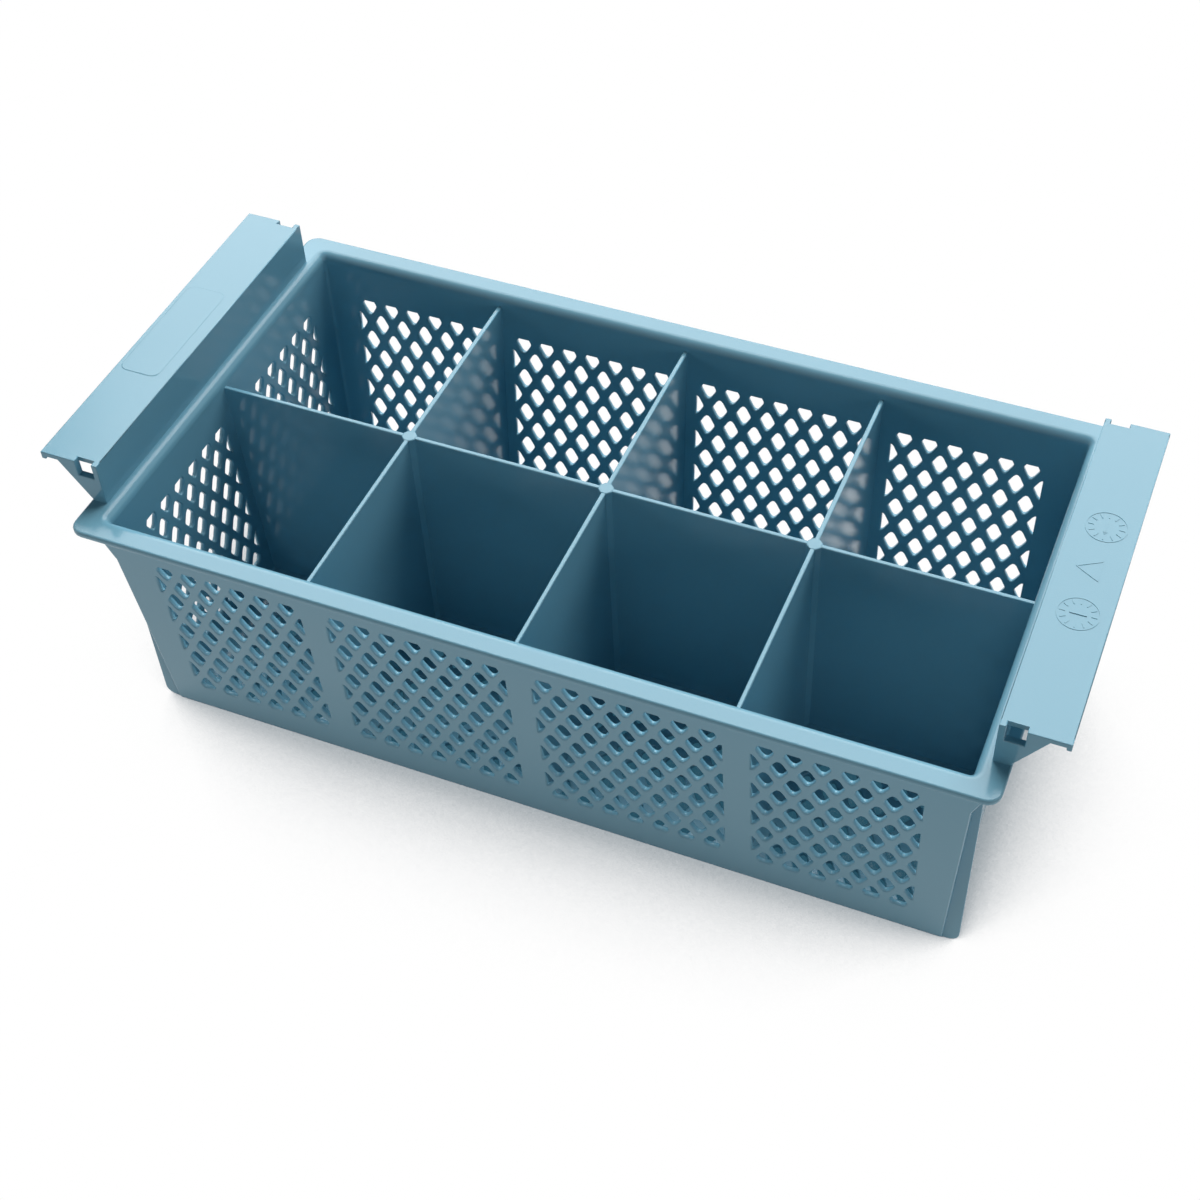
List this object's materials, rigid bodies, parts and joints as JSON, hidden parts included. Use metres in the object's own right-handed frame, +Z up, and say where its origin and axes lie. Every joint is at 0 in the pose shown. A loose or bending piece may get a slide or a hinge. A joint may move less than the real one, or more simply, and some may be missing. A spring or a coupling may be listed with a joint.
{
  "type": "dishwasher cutlery basket",
  "caption": "Open-topped moulded basket with divided cells, lattice walls, a perforated base and a lifting handle at each end, for washing cutlery upright.",
  "frame": {"origin": "centre of the footprint on the standing surface, under the middle of the base", "axes": "+X along the basket from one handle to the other, +Y towards the back long wall, +Z up"},
  "size_m": [0.43, 0.21, 0.1432],
  "materials": {
    "basket_plastic": "satin moulded polypropylene, teal blue"
  },
  "bodies": {
    "root": {"basket": "basket_plastic"}
  },
  "joints": []
}
